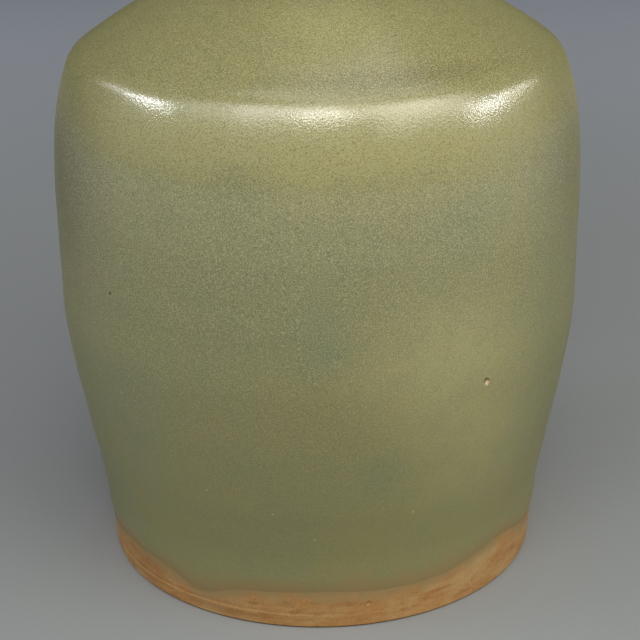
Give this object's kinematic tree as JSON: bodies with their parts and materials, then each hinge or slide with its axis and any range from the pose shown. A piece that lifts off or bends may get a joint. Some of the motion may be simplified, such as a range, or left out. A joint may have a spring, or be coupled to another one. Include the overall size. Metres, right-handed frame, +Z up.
{
  "type": "celadon vase",
  "caption": "Mallet-shaped stoneware bottle vase with a satin celadon glaze, a bare toasted clay foot, a sloping shoulder and a narrow neck with an everted lip.",
  "frame": {"origin": "centre of the foot, on the surface that the vase stands on", "axes": "+Z up along the vase's axis; the picture's camera looks along +Y, with +X to its right"},
  "size_m": [0.18, 0.18, 0.3194],
  "materials": {
    "stoneware": "matte toasted unglazed clay",
    "slip": "matte fired slip",
    "celadon": "satin olive-green celadon",
    "lining": "satin celadon, thin"
  },
  "bodies": {
    "root": {"body": "stoneware", "neck": "stoneware", "luting_slip": "slip", "outer_glaze": "celadon", "inner_glaze": "lining"}
  },
  "joints": []
}
